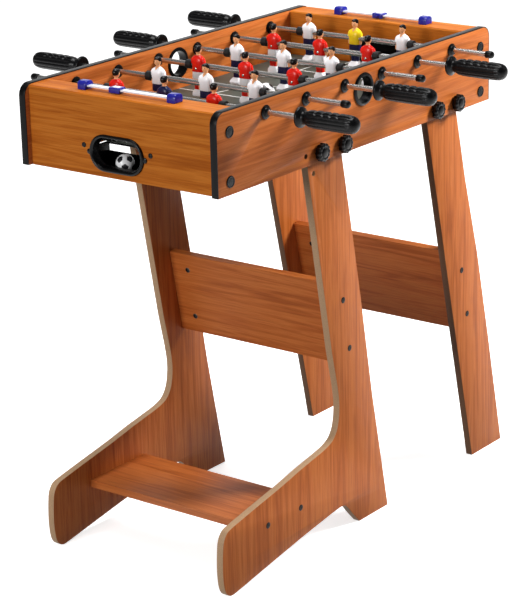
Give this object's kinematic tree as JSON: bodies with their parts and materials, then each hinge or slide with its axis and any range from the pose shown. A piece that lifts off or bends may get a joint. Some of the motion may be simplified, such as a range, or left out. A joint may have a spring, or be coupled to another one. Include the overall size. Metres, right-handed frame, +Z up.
{
  "type": "foosball table",
  "caption": "Folding foosball table: open wooden cabinet with sliding, spinning rods of toy players, goals, ball return cups and score counters, on an L-leg stand with swing-in rear legs.",
  "frame": {"origin": "on the floor, at the middle of the footprint and of the width", "axes": "+X from the near goal (the end over the long feet) to the far goal, +Y to the left side, +Z up, -Y the right side"},
  "size_m": [0.85, 0.748, 0.8135],
  "materials": {
    "cherry_panel": "cherry wood-grain foil on board, satin",
    "cherry_leg": "cherry wood-grain foil on board, raw brown edges",
    "cherry_board": "cherry wood-grain foil on board, satin",
    "playfield_green": "dark grey-green printed board with white lines",
    "black_plastic": "moulded black plastic",
    "chromed_steel": "polished chrome plate",
    "black_grip": "smooth black plastic",
    "red_man": "painted plastic figure, red shirt",
    "navy_man": "painted plastic figure, navy shirt",
    "white_man": "painted plastic figure, white shirt",
    "yellow_man": "painted plastic figure, yellow shirt",
    "score_white": "white printed strip between blue moulded ends",
    "score_blue": "deep blue moulded plastic",
    "ball_white": "smooth white plastic"
  },
  "bodies": {
    "front_stand": {"front_leg_right": "cherry_leg", "front_leg_left": "cherry_leg", "front_brace": "cherry_board", "foot_shelf": "cherry_board"},
    "cabinet": {"side_panel_right": "cherry_panel", "side_panel_left": "cherry_panel", "near_end_box": "cherry_panel", "far_end_box": "cherry_panel", "playfield": "playfield_green", "near_ball_cup": "black_plastic", "far_ball_cup": "black_plastic", "near_score_bar": "score_white", "far_score_bar": "score_white"},
    "rear_stand": {"rear_leg_right": "cherry_leg", "rear_leg_left": "cherry_leg", "rear_brace": "cherry_board"},
    "rod_1_end": {"rod_1_end_cap": "black_grip"},
    "rod_1_team": {"rod_1": "chromed_steel", "rod_1_grip": "black_grip", "man_1_left": "red_man", "man_1_middle": "navy_man", "man_1_right": "red_man"},
    "rod_2_end": {"rod_2_end_cap": "black_grip"},
    "rod_2_team": {"rod_2": "chromed_steel", "rod_2_grip": "black_grip", "man_2_left": "white_man", "man_2_middle": "white_man", "man_2_right": "white_man"},
    "rod_3_end": {"rod_3_end_cap": "black_grip"},
    "rod_3_team": {"rod_3": "chromed_steel", "rod_3_grip": "black_grip", "man_3_left": "red_man", "man_3_middle": "red_man", "man_3_right": "red_man"},
    "rod_4_end": {"rod_4_end_cap": "black_grip"},
    "rod_4_team": {"rod_4": "chromed_steel", "rod_4_grip": "black_grip", "man_4_left": "white_man", "man_4_middle": "white_man", "man_4_right": "white_man"},
    "rod_5_end": {"rod_5_end_cap": "black_grip"},
    "rod_5_team": {"rod_5": "chromed_steel", "rod_5_grip": "black_grip", "man_5_left": "red_man", "man_5_middle": "red_man", "man_5_right": "red_man"},
    "rod_6_end": {"rod_6_end_cap": "black_grip"},
    "rod_6_team": {"rod_6": "chromed_steel", "rod_6_grip": "black_grip", "man_6_left": "white_man", "man_6_middle": "yellow_man", "man_6_right": "white_man"},
    "near_score": {"near_score_slider": "score_blue"},
    "far_score": {"far_score_slider": "score_blue"},
    "play_ball": {"ball_in_play": "ball_white"},
    "cup_ball": {"ball_in_cup": "ball_white"},
    "pivot_knob_front_right_body": {"pivot_knob_front_right": "black_plastic"},
    "pivot_knob_front_left_body": {"pivot_knob_front_left": "black_plastic"},
    "pivot_knob_rear_right_body": {"pivot_knob_rear_right": "black_plastic"},
    "pivot_knob_rear_left_body": {"pivot_knob_rear_left": "black_plastic"}
  },
  "joints": [
    {"name": "cabinet_fold", "type": "hinge", "parent": "front_stand", "child": "cabinet", "pos_m": [-0.16005, 0, 0.686], "axis": [0, -1, 0], "range_deg": [0, 90]},
    {"name": "rear_stand_fold", "type": "hinge", "parent": "cabinet", "child": "rear_stand", "pos_m": [0.18095, 0, 0.685], "axis": [0, 1, 0], "range_deg": [0, 88]},
    {"name": "rod_1_push", "type": "slide", "parent": "cabinet", "child": "rod_1_end", "axis": [0, 1, 0], "range_m": [-0.057, 0.057]},
    {"name": "rod_1_spin", "type": "hinge", "parent": "rod_1_end", "child": "rod_1_team", "pos_m": [-0.3003, 0, 0.78], "axis": [0, 1, 0], "continuous": true},
    {"name": "rod_2_push", "type": "slide", "parent": "cabinet", "child": "rod_2_end", "axis": [0, 1, 0], "range_m": [-0.057, 0.057]},
    {"name": "rod_2_spin", "type": "hinge", "parent": "rod_2_end", "child": "rod_2_team", "pos_m": [-0.1942, 0, 0.78], "axis": [0, 1, 0], "continuous": true},
    {"name": "rod_3_push", "type": "slide", "parent": "cabinet", "child": "rod_3_end", "axis": [0, 1, 0], "range_m": [-0.057, 0.057]},
    {"name": "rod_3_spin", "type": "hinge", "parent": "rod_3_end", "child": "rod_3_team", "pos_m": [-0.0881, 0, 0.78], "axis": [0, 1, 0], "continuous": true},
    {"name": "rod_4_push", "type": "slide", "parent": "cabinet", "child": "rod_4_end", "axis": [0, 1, 0], "range_m": [-0.057, 0.057]},
    {"name": "rod_4_spin", "type": "hinge", "parent": "rod_4_end", "child": "rod_4_team", "pos_m": [0.018, 0, 0.78], "axis": [0, 1, 0], "continuous": true},
    {"name": "rod_5_push", "type": "slide", "parent": "cabinet", "child": "rod_5_end", "axis": [0, 1, 0], "range_m": [-0.057, 0.057]},
    {"name": "rod_5_spin", "type": "hinge", "parent": "rod_5_end", "child": "rod_5_team", "pos_m": [0.1241, 0, 0.78], "axis": [0, 1, 0], "continuous": true},
    {"name": "rod_6_push", "type": "slide", "parent": "cabinet", "child": "rod_6_end", "axis": [0, 1, 0], "range_m": [-0.057, 0.057]},
    {"name": "rod_6_spin", "type": "hinge", "parent": "rod_6_end", "child": "rod_6_team", "pos_m": [0.2302, 0, 0.78], "axis": [0, 1, 0], "continuous": true},
    {"name": "near_score_slide", "type": "slide", "parent": "cabinet", "child": "near_score", "axis": [0, 1, 0], "range_m": [-0.094, 0.043]},
    {"name": "far_score_slide", "type": "slide", "parent": "cabinet", "child": "far_score", "axis": [0, 1, 0], "range_m": [-0.075, 0.062]},
    {"name": "play_ball_roll", "type": "slide", "parent": "cabinet", "child": "play_ball", "axis": [0, 1, 0], "range_m": [-0.169, 0.169]},
    {"name": "cup_ball_lift", "type": "slide", "parent": "cabinet", "child": "cup_ball", "axis": [0, 0, 1], "range_m": [0, 0.028]},
    {"name": "pivot_knob_front_right_turn", "type": "hinge", "parent": "cabinet", "child": "pivot_knob_front_right_body", "pos_m": [-0.16005, 0, 0.686], "axis": [0, 1, 0], "continuous": true},
    {"name": "pivot_knob_front_left_turn", "type": "hinge", "parent": "cabinet", "child": "pivot_knob_front_left_body", "pos_m": [-0.16005, 0, 0.686], "axis": [0, 1, 0], "continuous": true},
    {"name": "pivot_knob_rear_right_turn", "type": "hinge", "parent": "cabinet", "child": "pivot_knob_rear_right_body", "pos_m": [0.18095, 0, 0.685], "axis": [0, 1, 0], "continuous": true},
    {"name": "pivot_knob_rear_left_turn", "type": "hinge", "parent": "cabinet", "child": "pivot_knob_rear_left_body", "pos_m": [0.18095, 0, 0.685], "axis": [0, 1, 0], "continuous": true}
  ],
  "couplings": [
    {"joint": "rear_stand_fold", "follows": "cabinet_fold", "ratio": 0.97}
  ]
}
